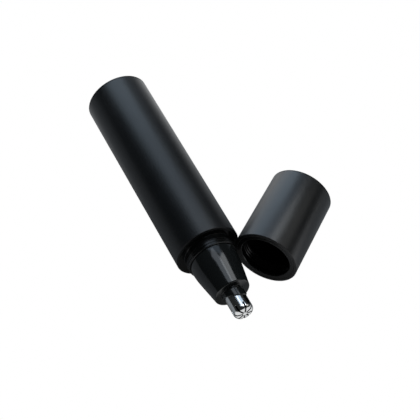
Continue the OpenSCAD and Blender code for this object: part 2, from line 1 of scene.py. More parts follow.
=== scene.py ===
"""Nose hair trimmer and its cap: surfaces, finishes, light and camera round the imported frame."""
import json
import math

import bmesh
import bpy
from mathutils import Matrix, Vector


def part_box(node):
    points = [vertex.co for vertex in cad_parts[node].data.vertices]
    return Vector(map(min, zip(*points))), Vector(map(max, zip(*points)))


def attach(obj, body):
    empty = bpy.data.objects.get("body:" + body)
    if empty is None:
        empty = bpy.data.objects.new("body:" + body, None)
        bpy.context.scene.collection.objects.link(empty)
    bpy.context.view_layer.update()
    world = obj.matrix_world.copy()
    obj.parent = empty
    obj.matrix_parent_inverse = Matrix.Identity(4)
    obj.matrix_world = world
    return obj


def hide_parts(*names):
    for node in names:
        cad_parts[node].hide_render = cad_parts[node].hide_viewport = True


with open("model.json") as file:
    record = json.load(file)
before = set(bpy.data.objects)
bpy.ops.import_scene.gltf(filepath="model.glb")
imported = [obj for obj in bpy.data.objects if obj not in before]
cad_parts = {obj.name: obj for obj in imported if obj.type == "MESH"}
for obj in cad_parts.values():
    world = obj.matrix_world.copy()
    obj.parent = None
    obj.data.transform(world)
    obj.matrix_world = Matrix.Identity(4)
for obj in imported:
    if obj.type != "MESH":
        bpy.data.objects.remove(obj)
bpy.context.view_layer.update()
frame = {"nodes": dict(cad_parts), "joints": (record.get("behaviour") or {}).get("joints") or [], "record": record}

MM = 0.001

# ------------------------------------------------------------------ sizes, in millimetres
tube_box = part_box("body_tube")
collar_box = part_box("front_collar")
nose_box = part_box("nose_cone")
cutter_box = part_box("outer_cutter")
tail_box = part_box("tail_cap")
shell_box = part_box("cap_shell")
HEADING = Vector(next(j for j in frame["joints"] if j["name"] == "cap_slide")["axis"])

RIM = Vector(((tube_box[0].x + tube_box[1].x) / 2, tube_box[0].y, (tube_box[0].z + tube_box[1].z) / 2))
HANDLE_R = (tube_box[1].x - tube_box[0].x) / 2 / MM
TUBE_WALL = 1.2
EDGE_BREAK = 0.15
FIT = 0.05
TUBE_END = -(tube_box[1].y - RIM.y) / MM
TAIL_END = -(tail_box[1].y - RIM.y) / MM
COLLAR_END = -(collar_box[1].y - RIM.y) / MM
NECK_LEN = (RIM.y - collar_box[0].y) / MM
CUTTER_TIP = (RIM.y - cutter_box[0].y) / MM
BOSS_END = (RIM.y - nose_box[0].y) / MM
PLUG_END = -(nose_box[1].y - RIM.y) / MM
SPIN_STEPS = 192
SHARP_ANGLE = 40

NECK_R = 9.2
RIB_H = 0.25
RIB_W = 0.38
RIB_PITCH = 1.0
RIB_COUNT = 3
COLLAR_BORE_R = 7.28
NOSE_BASE_R = 8.7
NOSE_FRONT_R = 6.6
NOSE_LEN = 15.4
NOSE_SHOULDER = 6.0
NOSE_START = 4.6
NOSE_STEP = 9.5
NOSE_EDGE = 0.5
CUTTER_R = 3.7
CUTTER_WALL = 0.35
BOSS_R = 4.1
BOSS_SLOPE = 30.0
BOSS_TURN = 25.0
TIP_LEN = 1.7
TIP_CORNER = 1.25
TIP_CROWN = 0.15
SLOT_COUNT = 8
SLOT_W = 0.6
SLOT_LEN = 2.8
SLOT_HUB_R = 0.8
SLOT_TURN = 84.0
SECTOR = 2 * math.pi / SLOT_COUNT
SECTOR_COLUMNS = 8
CAP_LEN = 32.8
CAP_WALL = 1.2
CAP_DRAFT = 0.35
CAP_RIM = 0.5
CAP_BORE_R = 9.05
CAP_SNAP_R = 9.1
CAP_SNAP_LEN = 5.0
CAP_FLOOR = 30.35
CAP_DISH = 0.15
GROOVE_W = 0.64
GROOVE_FLOOR_W = 0.22
GROOVE_DEEP = 0.2
RIB_FRONT = NECK_LEN - 0.3
CAP_PLUG_BACK = 31.2
PLUG_WALL = 1.2
TAIL_PLUG_R = 9.22
TAIL_PLUG_END = 6.4
TAIL_SEAM = 0.06
TAIL_DISH = 0.12
TAIL_FLOOR = 1.6
TAIL_WALL = 1.1
COIN_W = 1.8
COIN_LEN = 13.2
COIN_DEEP = 0.7


def tool_place():
    """From millimetres about the handle's axis, z = 0 at its front rim, to the frame."""
    return Matrix.Translation(RIM) @ Matrix.Rotation(math.radians(90), 4, "X") @ Matrix.Scale(MM, 4)


def cap_place():
    """From millimetres about the cap's axis, z = 0 at its mouth, to the frame."""
    tilt = math.atan(CAP_DRAFT / CAP_LEN)
    radius, edge = HANDLE_R * MM, EDGE_BREAK * MM
    mouth = Vector((shell_box[0].x + (radius - edge) * HEADING.y,
                    shell_box[0].y + radius * HEADING.x - edge * HEADING.y, radius * math.cos(tilt)))
    turn = math.atan2(HEADING.y, HEADING.x)
    return (Matrix.Translation(mouth) @ Matrix.Rotation(turn, 4, "Z")
            @ Matrix.Rotation(math.radians(90) + tilt, 4, "Y") @ Matrix.Scale(MM, 4))


# ------------------------------------------------------------------ camera
# Degrees from -Y towards +X and above the floor, metres, and millimetres for the lens
CAMERA_AZIMUTH = -25.551
CAMERA_ELEVATION = 51.829
CAMERA_DISTANCE = 0.527706
CAMERA_TARGET = (-0.006043, -0.000664, 0.0)
CAMERA_LENS = 121.65


def look_at(obj, target):
    obj.rotation_mode = "QUATERNION"
    obj.rotation_quaternion = (Vector(target) - obj.location).to_track_quat("-Z", "Y")


def make_camera():
    azimuth, elevation = math.radians(CAMERA_AZIMUTH), math.radians(CAMERA_ELEVATION)
    target = Vector(CAMERA_TARGET)
    back = Vector((math.sin(azimuth) * math.cos(elevation), -math.cos(azimuth) * math.cos(elevation),
                   math.sin(elevation)))
    data = bpy.data.cameras.new("camera")
    data.sensor_width = 36.0
    data.lens = CAMERA_LENS
    camera = bpy.data.objects.new("camera", data)
    camera.location = target + back * CAMERA_DISTANCE
    look_at(camera, target)
    bpy.context.scene.collection.objects.link(camera)
    bpy.context.scene.camera = camera


# ------------------------------------------------------------------ shared shader groups
DUST_SHARE = 0.18


def make_group(name, inputs, outputs):
    tree = bpy.data.node_groups.new(name, "ShaderNodeTree")
    for label, kind, value in inputs:
        socket = tree.interface.new_socket(label, in_out="INPUT", socket_type=kind)
        if value is not None:
            socket.default_value = value
    for label, kind in outputs:
        tree.interface.new_socket(label, in_out="OUTPUT", socket_type=kind)
    return tree, tree.nodes.new("NodeGroupInput"), tree.nodes.new("NodeGroupOutput")


def add(tree, kind, values=(), **settings):
    """A node with its settings; values maps an input's name or number to a value or a socket."""
    node = tree.nodes.new(kind)
    for key, value in settings.items():
        setattr(node, key, value)
    for key, value in dict(values).items():
        if isinstance(value, bpy.types.NodeSocket):
            tree.links.new(value, node.inputs[key])
        else:
            node.inputs[key].default_value = value
    return node


def math_node(tree, operation, a, b):
    return add(tree, "ShaderNodeMath", {0: a, 1: b}, operation=operation).outputs[0]


def ramp(tree, value, start, end, low=0.0, high=1.0):
    """Goes from low to high as the value goes from start to end, and stays there."""
    return add(tree, "ShaderNodeMapRange", {0: value, 1: start, 2: end, 3: low, 4: high}).outputs[0]


def blend(tree, mask, first, second):
    """The first colour where the mask is 0 and the second where it is 1."""
    return add(tree, "ShaderNodeMix", {0: mask, 6: first, 7: second}, data_type="RGBA").outputs[2]


def grain_group():
    """Fine all-over grain of a blasted or moulded surface: a height and a slow change of tone."""
    tree, start, end = make_group("surface grain", [
        ("Vector", "NodeSocketVector", None), ("Grains per metre", "NodeSocketFloat", 9000.0),
        ("Patches per metre", "NodeSocketFloat", 60.0)],
        [("Height", "NodeSocketFloat"), ("Tone", "NodeSocketFloat")])
    fine = add(tree, "ShaderNodeTexNoise", {"Vector": start.outputs["Vector"],
               "Scale": start.outputs["Grains per metre"], "Detail": 3.0, "Roughness": 0.6})
    patch = add(tree, "ShaderNodeTexNoise", {"Vector": start.outputs["Vector"],
                "Scale": start.outputs["Patches per metre"], "Detail": 4.0, "Roughness": 0.55})
    tree.links.new(fine.outputs["Fac"], end.inputs["Height"])
    tree.links.new(patch.outputs["Fac"], end.inputs["Tone"])
    return tree


def drawn_group():
    """Hairlines along local Z of the mapped coordinates, as left by drawing or turning."""
    tree, start, end = make_group("drawn lines", [
        ("Vector", "NodeSocketVector", None), ("Lines per metre", "NodeSocketFloat", 6000.0),
        ("Stretch", "NodeSocketFloat", 0.01)], [("Height", "NodeSocketFloat")])
    squeeze = add(tree, "ShaderNodeCombineXYZ", {0: 1.0, 1: 1.0, 2: start.outputs["Stretch"]})
    stretched = add(tree, "ShaderNodeVectorMath", {0: start.outputs["Vector"], 1: squeeze.outputs[0]},
                    operation="MULTIPLY")
    lines = add(tree, "ShaderNodeTexNoise", {"Vector": stretched.outputs[0],
                "Scale": start.outputs["Lines per metre"], "Detail": 2.0, "Roughness": 0.5})
    tree.links.new(lines.outputs["Fac"], end.inputs["Height"])
    return tree


def dust_group():
    """Sparse settled specks, as a mask."""
    tree, start, end = make_group("dust specks", [
        ("Vector", "NodeSocketVector", None), ("Specks per metre", "NodeSocketFloat", 260.0),
        ("Size", "NodeSocketFloat", 0.03)], [("Mask", "NodeSocketFloat")])
    cells = add(tree, "ShaderNodeTexVoronoi", {"Vector": start.outputs["Vector"],
                "Scale": start.outputs["Specks per metre"]}, feature="F1")
    inside = math_node(tree, "LESS_THAN", cells.outputs["Distance"], start.outputs["Size"])
    lottery = add(tree, "ShaderNodeSeparateColor", {0: cells.outputs["Color"]})
    chosen = math_node(tree, "GREATER_THAN", lottery.outputs[0], 1 - DUST_SHARE)
    tree.links.new(math_node(tree, "MULTIPLY", inside, chosen), end.inputs["Mask"])
    return tree


GROUPS = {"grain": grain_group(), "drawn": drawn_group(), "dust": dust_group()}


def use_group(tree, name, values):
    return add(tree, "ShaderNodeGroup", values, node_tree=GROUPS[name])


# ------------------------------------------------------------------ materials
DUST_COLOR = (0.10, 0.10, 0.10, 1.0)
# Painted shade: the dark colour and facing limit for the inside of the cutter's bore
BORE_SHADE_COLOR = (0.03, 0.03, 0.03, 1.0)
BORE_SHADE_FACING = -0.3
BUMP_DISTANCE = 0.0001


def shade(color, factor):
    """The colour made lighter or darker, with an alpha of one."""
    return tuple(c * factor for c in color[:3]) + (1.0,)


def bore_shade_mask(tree, place, radius):
    """Painted shade: one within the radius about the handle's axis, apart from faces turned to the tip."""
    across = add(tree, "ShaderNodeVectorMath", {0: place, 1: (-RIM.x, 0.0, -RIM.z)}, operation="ADD")
    flat = add(tree, "ShaderNodeVectorMath", {0: across.outputs[0], 1: (1.0, 0.0, 1.0)},
               operation="MULTIPLY")
    reach = add(tree, "ShaderNodeVectorMath", {0: flat.outputs[0]}, operation="LENGTH").outputs["Value"]
    normal = add(tree, "ShaderNodeSeparateXYZ", {0: add(tree, "ShaderNodeTexCoord").outputs["Normal"]})
    return math_node(tree, "MULTIPLY", math_node(tree, "LESS_THAN", reach, radius),
                     math_node(tree, "GREATER_THAN", normal.outputs[1], BORE_SHADE_FACING))


def material(name, color, rough, metallic=0.0, grain=(9000.0, 0.02), patch=(60.0, 0.12), drawn=None,
             dust=0.0, axis="tool", bore=None, **sockets):
    """A procedural finish: colour and roughness drift over slow patches, and bump comes from grain and lines.
    grain is (grains per metre, height), patch is (patches per metre, strength) and drawn is (lines per
    metre, height, stretch). dust is the size of the specks. bore is the radius about the handle's axis
    inside which the metal is painted dark as shade, apart from faces turned to the tip."""
    made = bpy.data.materials.new(name)
    made.use_nodes = True
    tree = made.node_tree
    shader = tree.nodes["Principled BSDF"]
    place = add(tree, "ShaderNodeTexCoord").outputs["Object"]
    texture = use_group(tree, "grain", {"Vector": place, "Grains per metre": grain[0],
                                        "Patches per metre": patch[0]})
    tone = texture.outputs["Tone"]
    surface = blend(tree, tone, shade(color, 1 - patch[1]), shade(color, 1 + patch[1]))
    if dust:
        specks = use_group(tree, "dust", {"Vector": place, "Size": dust})
        surface = blend(tree, specks.outputs[0], surface, DUST_COLOR)
    # Painted shade: the metal inside the bore is painted dark
    if bore:
        surface = blend(tree, bore_shade_mask(tree, place, bore * MM), surface, BORE_SHADE_COLOR)
    tree.links.new(surface, shader.inputs["Base Color"])
    drift = ramp(tree, tone, 0.3, 0.7, rough * (1 - patch[1] / 2), rough * (1 + patch[1] / 2))
    tree.links.new(drift, shader.inputs["Roughness"])
    height = math_node(tree, "MULTIPLY", texture.outputs["Height"], grain[1])
    if drawn:
        turned = add(tree, "ShaderNodeMapping", {"Vector": place, "Rotation": AXIS_TURN[axis]}).outputs[0]
        lines = use_group(tree, "drawn", {"Vector": turned, "Lines per metre": drawn[0],
                                          "Stretch": drawn[2]})
        height = math_node(tree, "ADD", height, math_node(tree, "MULTIPLY", lines.outputs[0], drawn[1]))
    bump = add(tree, "ShaderNodeBump", {"Height": height, "Distance": BUMP_DISTANCE, "Strength": 1.0})
    tree.links.new(bump.outputs[0], shader.inputs["Normal"])
    shader.inputs["Metallic"].default_value = metallic
    for key, value in sockets.items():
        shader.inputs[key.replace("_", " ")].default_value = value
    return made


# Turns that bring each tube's own axis to z
AXIS_TURN = {"tool": (math.radians(90), 0.0, 0.0),
             "cap": (math.radians(90), 0.0, math.radians(90) - math.atan2(HEADING.y, HEADING.x))}

MATERIALS = {
    "anodised_tube": material("black anodised tube", (0.0040, 0.0046, 0.0052), 0.38, grain=(14000.0, 0.05),
                              drawn=(5000.0, 0.05, 0.02), dust=0.012, IOR=1.5),
    "anodised_cap": material("black anodised cap", (0.0070, 0.0076, 0.0080), 0.33, grain=(14000.0, 0.05),
                             drawn=(5000.0, 0.05, 0.02), dust=0.010, axis="cap", IOR=1.55),
    "collar_plastic": material("collar plastic", (0.0028, 0.0032, 0.0031), 0.19, grain=(9000.0, 0.03),
                               IOR=1.42),
    "nose_plastic": material("nose plastic", (0.0095, 0.0106, 0.0104), 0.13, grain=(9000.0, 0.012)),
    "tail_plastic": material("tail plastic", (0.0040, 0.0042, 0.0042), 0.36, grain=(9000.0, 0.05)),
    "liner_plastic": material("liner plastic", (0.0060, 0.0066, 0.0064), 0.20, grain=(9000.0, 0.05)),
    "inner_plastic": material("inner plastic", (0.030, 0.032, 0.035), 0.5, grain=(5000.0, 0.08)),
    "bearing_plastic": material("acetal", (0.70, 0.68, 0.60), 0.38, grain=(5000.0, 0.04),
                                patch=(40.0, 0.05)),
    "bell_plastic": material("bell plastic", (0.76, 0.74, 0.67), 0.42, grain=(5000.0, 0.04),
                             patch=(40.0, 0.05)),
    # Painted shade: the inside of the cutter is painted dark through bore
    "cutter_steel": material("polished steel", (0.80, 0.80, 0.79), 0.15, 1.0, grain=(9000.0, 0.005),
                             patch=(300.0, 0.06), bore=CUTTER_R - 0.1),
    "blade_steel": material("ground steel", (0.60, 0.60, 0.60), 0.26, 1.0, grain=(9000.0, 0.01),
                            drawn=(20000.0, 0.05, 0.02)),
    "spring_steel": material("drawn wire", (0.56, 0.57, 0.58), 0.25, 1.0, patch=(300.0, 0.1)),
    "motor_steel": material("zinc plate", (0.52, 0.53, 0.55), 0.34, 1.0, grain=(4000.0, 0.03)),
    "core_iron": material("laminations", (0.20, 0.20, 0.21), 0.45, 1.0, drawn=(2500.0, 0.4, 40.0)),
    "ferrite": material("ferrite", (0.035, 0.034, 0.033), 0.62, grain=(3500.0, 0.25)),
    "winding_copper": material("enamelled copper", (0.72, 0.27, 0.10), 0.28, 1.0,
                               drawn=(4000.0, 0.5, 0.02)),
    "bushing_bronze": material("sintered bronze", (0.50, 0.32, 0.14), 0.42, 1.0, grain=(6000.0, 0.2)),
    "contact_brass": material("pressed brass", (0.72, 0.52, 0.22), 0.27, 1.0, drawn=(6000.0, 0.06, 0.02)),
    "cell_can": material("nickel plate", (0.62, 0.62, 0.62), 0.22, 1.0),
    "cell_wrap": material("cell film", (0.035, 0.05, 0.08), 0.3, grain=(3000.0, 0.03)),
    "seal_rubber": material("seal rubber", (0.008, 0.008, 0.008), 0.55, grain=(6000.0, 0.1)),
}

# The record's material slot of each CAD node
SLOT_OF = {entry["node"]: entry["material_slot"] for entry in frame["record"]["subparts"]}


def finish_cad_nodes():
    for name, node in frame["nodes"].items():
        node.data.materials.clear()
        node.data.materials.append(MATERIALS[SLOT_OF[name]])


# ------------------------------------------------------------------ turned shapes
def soften(corners, closed, steps=5):
    """Points of an outline of (r, z, fillet) corners, each corner rounded by its fillet radius."""
    points = []
    count = len(corners)
    for i, (r, z, fillet) in enumerate(corners):
        here = Vector((r, z))
        if fillet <= 0 or (not closed and i in (0, count - 1)):
            points.append(here)
            continue
        to_last = Vector(corners[i - 1][:2]) - here
        to_next = Vector(corners[(i + 1) % count][:2]) - here
        half = to_last.angle(to_next) / 2
        reach = min(fillet / math.tan(half), 0.49 * min(to_last.length, to_next.length))
        radius = reach * math.tan(half)
        centre = here + (to_last.normalized() + to_next.normalized()).normalized() * radius / math.sin(half)
        first = here + to_last.normalized() * reach - centre
        last = here + to_next.normalized() * reach - centre
        turn = first.angle_signed(last)
        for k in range(steps + 1):
            points.append(centre + first @ Matrix.Rotation(turn * k / steps, 2))
    return points


def lathe(name, outline, closed, place, steps=SPIN_STEPS, height=None):
    """The outline of (r, z) points turned about z; an open outline starts and ends on the axis.
    height, where given, says how z changes with the angle."""
    vertices, rows, faces = [], [], []
    for r, z in outline:
        count = 1 if r < 1e-6 else steps
        rows.append((len(vertices), count))
        for k in range(count):
            angle = 2 * math.pi * k / steps
            vertices.append((r * math.cos(angle), r * math.sin(angle), height(z, angle) if height else z))
    pairs = list(zip(rows, rows[1:]))
    if closed:
        pairs.append((rows[-1], rows[0]))
    for (a, na), (b, nb) in pairs:
        for k in range(steps):
            j = (k + 1) % steps
            ring = [a + k % na, a + j % na, b + j % nb, b + k % nb]
            face = list(dict.fromkeys(ring))
            if len(face) > 2:
                faces.append(face)
    return piece_from(name, vertices, faces, place)


def piece_from(name, vertices, faces, place):
    mesh = bpy.data.meshes.new(name)
    mesh.from_pydata(vertices, [], faces)
    weld(mesh)
    smooth(mesh)
    mesh.transform(place)
    piece = bpy.data.objects.new(name, mesh)
    bpy.context.scene.collection.objects.link(piece)
    return piece


def weld(mesh, distance=1e-5):
    """Joins points that lie together and turns every face outwards."""
    build = bmesh.new()
    build.from_mesh(mesh)
    bmesh.ops.remove_doubles(build, verts=build.verts, dist=distance)
    bmesh.ops.recalc_face_normals(build, faces=build.faces)
    build.to_mesh(mesh)
    build.free()


def smooth(mesh):
    mesh.shade_smooth()
    mesh.set_sharp_from_angle(angle=math.radians(SHARP_ANGLE))


def settle(piece, body, slot, *nodes):
    """Gives a finished piece its material, its body and the frame nodes that it stands for."""
    piece.data.materials.clear()
    piece.data.materials.append(MATERIALS[slot])
    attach(piece, body)
    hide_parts(*nodes)
    return piece


# ------------------------------------------------------------------ handle
def make_tube():
    inner = HANDLE_R - TUBE_WALL
    outline = soften([(inner, TUBE_END, 0.1), (HANDLE_R, TUBE_END, 0.12), (HANDLE_R, 0.0, 0.14),
                      (inner, 0.0, 0.03)], closed=True)
    settle(lathe("handle_tube", outline, True, tool_place()), "handle", "anodised_tube", "body_tube")


def rib_outline(last, count, base, height, width):
    """Rounded ribs from the last one back, as corners of an outline that runs towards +z."""
    corners = []
    for k in reversed(range(count)):
        z = last - k * RIB_PITCH
        corners += [(base, z - width / 2, 0.04), (base + height, z - width * 0.28, 0.09),
                    (base + height, z + width * 0.28, 0.09), (base, z + width / 2, 0.04)]
    return corners


def make_collar():
    core = NECK_R - RIB_H
    plug_r = HANDLE_R - TUBE_WALL - FIT
    outline = soften([(COLLAR_BORE_R, COLLAR_END, 0.1), (plug_r, COLLAR_END, 0.3), (plug_r, 0.0, 0.02),
                      (core + 0.12, 0.0, 0.05), (core, 0.15, 0.1)]
                     + rib_outline(RIB_FRONT, RIB_COUNT, core, RIB_H, RIB_W)
                     + [(core, NECK_LEN, 0.06), (COLLAR_BORE_R, NECK_LEN, 0.1)], closed=True)
    settle(lathe("neck_collar", outline, True, tool_place()), "handle", "collar_plastic", "front_collar")


# ------------------------------------------------------------------ head
def nose_radius(s):
    """The nose's radius at s behind its start: its slope grows over the shoulder, then it is a cone."""
    bend = (NOSE_BASE_R - NOSE_FRONT_R) / (NOSE_SHOULDER * (NOSE_LEN - NOSE_SHOULDER / 2))
    if s < NOSE_SHOULDER:
        return NOSE_BASE_R - bend * s * s / 2
    return NOSE_BASE_R - bend * NOSE_SHOULDER * (s - NOSE_SHOULDER / 2)


def boss_height(z, angle):
    """The boss's front edge slopes: its long side stands up, and its short side is flush with the nose."""
    front = NOSE_START + NOSE_LEN
    if z <= front:
        return z
    turn = angle - math.radians(90 - BOSS_TURN)
    end = BOSS_END - BOSS_R * (1 - math.cos(turn)) * math.tan(math.radians(BOSS_SLOPE))
    return front + (z - front) * (max(end, front + 0.03) - front) / (BOSS_END - front)


def make_nose():
    front = NOSE_START + NOSE_LEN
    plug_r = COLLAR_BORE_R - 0.08
    side = [(nose_radius(NOSE_LEN * k / 20), NOSE_START + NOSE_LEN * k / 20, 0.0) for k in range(1, 20)]
    outline = soften([(plug_r - PLUG_WALL, PLUG_END, 0.1), (plug_r, PLUG_END, 0.2), (plug_r, NOSE_START, 0.0),
                      (nose_radius(0), NOSE_START, 0.18)] + side
                     + [(nose_radius(NOSE_LEN), front, NOSE_EDGE), (BOSS_R + 0.02, front, 0.15),
                        (BOSS_R, BOSS_END, 0.3), (CUTTER_R + FIT, BOSS_END, 0.05),
                        (CUTTER_R + FIT, NOSE_START + NOSE_STEP, 0.0),
                        (plug_r - PLUG_WALL, NOSE_START + NOSE_STEP, 0.0)], closed=True)
    settle(lathe("nose_shell", outline, True, tool_place(), height=boss_height), "head", "nose_plastic",
           "nose_cone")


def tip_profile():
    """(r, z) along the outside of the cutter's end, from the middle of the tip to the slots' ends."""
    side_z = CUTTER_TIP - TIP_LEN
    corner_z = CUTTER_TIP - TIP_CROWN
    points = [(SLOT_HUB_R, CUTTER_TIP - TIP_CROWN * SLOT_HUB_R / (CUTTER_R - TIP_CORNER))]
    points += [(r, CUTTER_TIP - TIP_CROWN * r / (CUTTER_R - TIP_CORNER)) for r in (1.2, 1.7)]
    for k in range(9):
        angle = math.radians(90 - 90 * k / 8)
        points.append((CUTTER_R - TIP_CORNER + TIP_CORNER * math.cos(angle),
                       side_z + (corner_z - side_z) * math.sin(angle)))
    points += [(CUTTER_R, side_z - 0.3), (CUTTER_R, CUTTER_TIP - SLOT_LEN)]
    return points


def on_circle(radius, angle, z):
    return radius * math.cos(angle), radius * math.sin(angle), z


def tooth_angles(gap):
    """Evenly spaced angles over one sector, less the gap at each side."""
    return [gap + (SECTOR - 2 * gap) * c / SECTOR_COLUMNS for c in range(SECTOR_COLUMNS + 1)]


def grid_faces(first, rows, width):
    """Four-sided faces over rows of width points each, counted from the first point."""
    faces = []
    for row in range(rows - 1):
        for column in range(width - 1):
            a = first + row * width + column
            faces.append((a, a + 1, a + width + 1, a + width))
    return faces


def make_tooth():
    """One of the cutter's equal sectors: the tooth with its parallel slot edges, the tube behind it
    and its share of the hub in the middle of the tip."""
    rows = [(r, z, math.asin(SLOT_W / 2 / r)) for r, z in tip_profile()]
    width = SECTOR_COLUMNS + 1
    vertices = [on_circle(r, angle, z) for r, z, gap in rows for angle in tooth_angles(gap)]
    faces = grid_faces(0, len(rows), width)
    slot_end = CUTTER_TIP - SLOT_LEN
    tube_rows = [slot_end, slot_end - 0.25, NOSE_START + NOSE_LEN, NOSE_START + NOSE_STEP - FIT]
    angles = [0.0] + tooth_angles(rows[-1][2]) + [SECTOR]
    faces += grid_faces(len(vertices), len(tube_rows), len(angles))
    vertices += [on_circle(CUTTER_R, angle, z) for z in tube_rows for angle in angles]
    hub = len(vertices)
    hub_z = rows[0][1]
    vertices += [(0.0, 0.0, CUTTER_TIP), on_circle(SLOT_HUB_R, 0.0, hub_z),
                 on_circle(SLOT_HUB_R, SECTOR, hub_z)]
    faces.append([hub, hub + 1] + list(range(width)) + [hub + 2])
    mesh = bpy.data.meshes.new("tooth")
    mesh.from_pydata(vertices, [], faces)
    return mesh


def make_cutter():
    ring = repeat_round(make_tooth(), SLOT_COUNT, "cutter_steel")
    piece = bpy.data.objects.new("slotted_cutter", ring)
    bpy.context.scene.collection.objects.link(piece)
    weld(ring, 1e-3)
    wall = piece.modifiers.new("wall", "SOLIDIFY")
    wall.thickness = CUTTER_WALL
    wall.offset = -1.0
    edge = piece.modifiers.new("edge", "BEVEL")
    edge.width = 0.05
    edge.segments = 2
    edge.limit_method = "ANGLE"
    edge.angle_limit = math.radians(45)
    apply_modifiers(piece)
    smooth(piece.data)
    piece.data.transform(Matrix.Rotation(math.radians(SLOT_TURN), 4, "Z"))
    piece.data.transform(tool_place())
    settle(piece, "head", "cutter_steel", "outer_cutter")


def repeat_round(mesh, count, slot):
    """A copy of the mesh at each of count even turns about z, made by Geometry Nodes."""
    tree = bpy.data.node_groups.new("repeat round", "GeometryNodeTree")
    tree.interface.new_socket("Geometry", in_out="INPUT", socket_type="NodeSocketGeometry")
    number = tree.interface.new_socket("Count", in_out="INPUT", socket_type="NodeSocketInt")
    number.default_value = count
    tree.interface.new_socket("Geometry", in_out="OUTPUT", socket_type="NodeSocketGeometry")
    start, end = tree.nodes.new("NodeGroupInput"), tree.nodes.new("NodeGroupOutput")
    points = add(tree, "GeometryNodePoints", {"Count": start.outputs["Count"]})
    index = tree.nodes.new("GeometryNodeInputIndex")
    step = math_node(tree, "DIVIDE", 2 * math.pi, start.outputs["Count"])
    angle = math_node(tree, "MULTIPLY", index.outputs[0], step)
    turn = add(tree, "ShaderNodeCombineXYZ", {2: angle})
    copies = add(tree, "GeometryNodeInstanceOnPoints", {"Points": points.outputs[0],
                 "Instance": start.outputs["Geometry"], "Rotation": turn.outputs[0]})
    real = add(tree, "GeometryNodeRealizeInstances", {"Geometry": copies.outputs[0]})
    coat = add(tree, "GeometryNodeSetMaterial", {"Geometry": real.outputs[0], "Material": MATERIALS[slot]})
    tree.links.new(coat.outputs[0], end.inputs[0])
    holder = bpy.data.objects.new("repeat", mesh)
    bpy.context.scene.collection.objects.link(holder)
    maker = holder.modifiers.new("repeat", "NODES")
    maker.node_group = tree
    maker[number.identifier] = count
    bpy.context.view_layer.update()
    made = bpy.data.meshes.new_from_object(holder.evaluated_get(bpy.context.evaluated_depsgraph_get()))
    bpy.data.objects.remove(holder)
    return made


def apply_modifiers(piece):
    bpy.context.view_layer.update()
    made = bpy.data.meshes.new_from_object(piece.evaluated_get(bpy.context.evaluated_depsgraph_get()))
    piece.modifiers.clear()
    piece.data = made


# ------------------------------------------------------------------ tail
def make_tail():
    seam = TUBE_END - TAIL_SEAM
    plug_end = TUBE_END + TAIL_PLUG_END
    face = TAIL_END + TAIL_DISH
    floor = TAIL_END + TAIL_FLOOR
    bore = TAIL_PLUG_R - TAIL_WALL
    outline = soften([(0.0, face, 0.0), (9.6, face, 0.1), (9.9, TAIL_END, 0.1),
                      (HANDLE_R, TAIL_END, 0.3), (HANDLE_R, seam, 0.06), (TAIL_PLUG_R, seam, 0.05),
                      (TAIL_PLUG_R, plug_end, 0.15), (bore, plug_end, 0.15), (bore, floor, 0.3),
                      (0.0, floor, 0.0)], closed=False)
    piece = lathe("tail_knob", outline, False, Matrix.Identity(4))
    cut_slot(piece, COIN_W, COIN_LEN, TAIL_END, COIN_DEEP)
    piece.data.transform(tool_place())
    settle(piece, "tail", "tail_plastic", "tail_cap")


def cut_slot(piece, width, length, z, depth):
    """Cuts a straight slot with round ends across the flat face at z."""
    vertices, outline = [], []
    for end in (1, -1):
        for k in range(13):
            angle = math.radians(-90 + 180 * k / 12) + (0 if end > 0 else math.pi) + math.pi / 2
            outline.append((width / 2 * math.cos(angle),
                            end * (length - width) / 2 + width / 2 * math.sin(angle)))
    count = len(outline)
    for level in (z - 1.0, z + depth):
        vertices += [(x, y, level) for x, y in outline]
    faces = [list(range(count))[::-1], list(range(count, 2 * count))]
    faces += [(k, (k + 1) % count, count + (k + 1) % count, count + k) for k in range(count)]
    tool = piece_from("slot_tool", vertices, faces, Matrix.Identity(4))
    cut = piece.modifiers.new("slot", "BOOLEAN")
    cut.object = tool
    cut.operation = "DIFFERENCE"
    cut.solver = "EXACT"
    apply_modifiers(piece)
    bpy.data.objects.remove(tool)
    weld(piece.data)
    smooth(piece.data)


# ------------------------------------------------------------------ cap
def cap_radius(z):
    """The cap's outside radius at z from its mouth."""
    return HANDLE_R - CAP_DRAFT * z / CAP_LEN


def make_cap_shell():
    end = CAP_LEN - CAP_RIM
    outline = soften([(HANDLE_R - CAP_WALL, 0.0, 0.1), (HANDLE_R, 0.0, 0.2), (cap_radius(end), end, 0.08),
                      (cap_radius(end) - CAP_WALL, end, 0.05)], closed=True)
    settle(lathe("cap_tube", outline, True, cap_place()), "cap", "anodised_cap", "cap_shell")


def make_cap_liner():
    skin = CAP_WALL + FIT
    grooves = []
    for k in range(RIB_COUNT):
        z = RIB_FRONT - k * RIB_PITCH
        grooves += [(CAP_SNAP_R, z + GROOVE_W / 2, 0.05),
                    (CAP_SNAP_R + GROOVE_DEEP, z + GROOVE_FLOOR_W / 2, 0.06),
                    (CAP_SNAP_R + GROOVE_DEEP, z - GROOVE_FLOOR_W / 2, 0.06),
                    (CAP_SNAP_R, z - GROOVE_W / 2, 0.05)]
    outline = soften([(0.0, CAP_FLOOR, 0.0), (CAP_BORE_R, CAP_FLOOR, 0.6), (CAP_BORE_R, CAP_SNAP_LEN, 0.02),
                      (CAP_SNAP_R, CAP_SNAP_LEN, 0.02)] + grooves
                     + [(CAP_SNAP_R, 0.3, 0.1), (CAP_SNAP_R + 0.28, 0.02, 0.1),
                        (HANDLE_R - skin, 0.02, 0.08),
                        (cap_radius(CAP_PLUG_BACK) - skin, CAP_PLUG_BACK - FIT, 0.1),
                        (0.0, CAP_PLUG_BACK - FIT, 0.0)], closed=False)
    settle(lathe("cap_lining", outline, False, cap_place()), "cap", "liner_plastic", "cap_liner")


